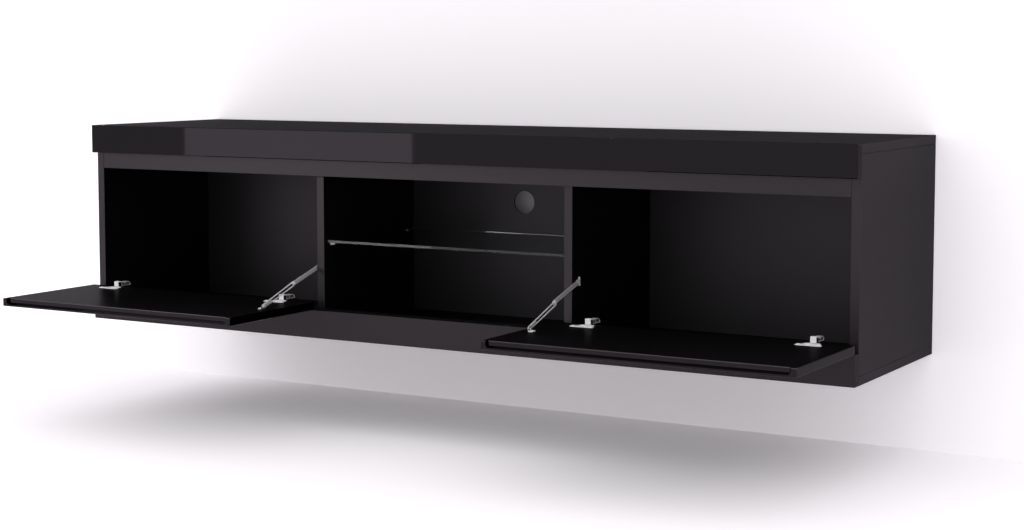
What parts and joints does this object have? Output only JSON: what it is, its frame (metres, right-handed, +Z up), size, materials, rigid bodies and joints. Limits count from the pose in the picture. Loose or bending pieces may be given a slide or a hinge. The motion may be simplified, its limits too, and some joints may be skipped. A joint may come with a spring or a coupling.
{
  "type": "floating media console",
  "caption": "Wall-hung low media cabinet: an open middle bay with a glass shelf between compartments with drop-down doors on cup hinges and slotted folding stays.",
  "frame": {"origin": "on the wall plane, in the middle of the hanging rail's back face", "axes": "+X to the right along the wall, +Y into the wall, so the front faces -Y, +Z up"},
  "size_m": [1.6, 0.6475, 0.388],
  "materials": {
    "laminate": "satin black laminate on chipboard",
    "gloss": "high-gloss black lacquer on fibreboard",
    "hardboard": "matt black painted hardboard",
    "nickel": "bright nickel plate",
    "zinc": "satin zinc plate",
    "glass": "clear float glass with ground edges"
  },
  "bodies": {
    "carcass": {"top_panel": "laminate", "bottom_panel": "laminate", "left_side": "laminate", "right_side": "laminate", "left_divider": "laminate", "right_divider": "laminate", "back_panel": "hardboard", "top_front_rail": "laminate", "bottom_front_rail": "laminate", "top_fascia": "gloss", "bottom_fascia": "gloss", "hanging_rail": "laminate", "left_hanger_plate": "zinc", "right_hanger_plate": "zinc", "glass_shelf": "glass", "left_front_shelf_pin": "nickel", "left_back_shelf_pin": "nickel", "right_front_shelf_pin": "nickel", "right_back_shelf_pin": "nickel", "left_door_left_hinge_plate": "zinc", "left_door_right_hinge_plate": "zinc", "left_stay_bracket": "zinc", "right_door_left_hinge_plate": "zinc", "right_door_right_hinge_plate": "zinc", "right_stay_bracket": "zinc"},
    "left_door_leaf": {"left_door": "gloss", "left_door_left_hinge_cup": "nickel", "left_door_left_hinge_hood": "nickel", "left_door_right_hinge_cup": "nickel", "left_door_right_hinge_hood": "nickel", "left_stay_foot": "nickel"},
    "left_stay_upper": {"left_stay_upper_arm": "zinc", "left_stay_rivet": "nickel"},
    "left_stay_lower": {"left_stay_lower_arm": "zinc"},
    "right_door_leaf": {"right_door": "gloss", "right_door_left_hinge_cup": "nickel", "right_door_left_hinge_hood": "nickel", "right_door_right_hinge_cup": "nickel", "right_door_right_hinge_hood": "nickel", "right_stay_foot": "nickel"},
    "right_stay_upper": {"right_stay_upper_arm": "zinc", "right_stay_rivet": "nickel"},
    "right_stay_lower": {"right_stay_lower_arm": "zinc"}
  },
  "joints": [
    {"name": "left_door_hinge", "type": "hinge", "parent": "carcass", "child": "left_door_leaf", "pos_m": [-0.528, -0.3954, -0.2781], "axis": [-1, 0, 0], "range_deg": [0, 90]},
    {"name": "left_stay_top_pivot", "type": "hinge", "parent": "carcass", "child": "left_stay_upper", "pos_m": [-0.27475, -0.3469, -0.1995], "axis": [-1, 0, 0], "range_deg": [0, 117.6]},
    {"name": "left_stay_foot_pivot", "type": "hinge", "parent": "left_door_leaf", "child": "left_stay_lower", "pos_m": [-0.27655, -0.5235, -0.2585], "axis": [1, 0, 0], "range_deg": [0, 113.1]},
    {"name": "right_door_hinge", "type": "hinge", "parent": "carcass", "child": "right_door_leaf", "pos_m": [0.528, -0.3954, -0.2781], "axis": [-1, 0, 0], "range_deg": [0, 90]},
    {"name": "right_stay_top_pivot", "type": "hinge", "parent": "carcass", "child": "right_stay_upper", "pos_m": [0.27475, -0.3469, -0.1995], "axis": [-1, 0, 0], "range_deg": [0, 117.6]},
    {"name": "right_stay_foot_pivot", "type": "hinge", "parent": "right_door_leaf", "child": "right_stay_lower", "pos_m": [0.27655, -0.5235, -0.2585], "axis": [1, 0, 0], "range_deg": [0, 113.1]}
  ],
  "couplings": [
    {"joint": "left_stay_top_pivot", "follows": "left_door_hinge", "ratio": 1.306},
    {"joint": "left_stay_foot_pivot", "follows": "left_door_hinge", "ratio": 1.2563},
    {"joint": "right_stay_top_pivot", "follows": "right_door_hinge", "ratio": 1.306},
    {"joint": "right_stay_foot_pivot", "follows": "right_door_hinge", "ratio": 1.2563}
  ]
}
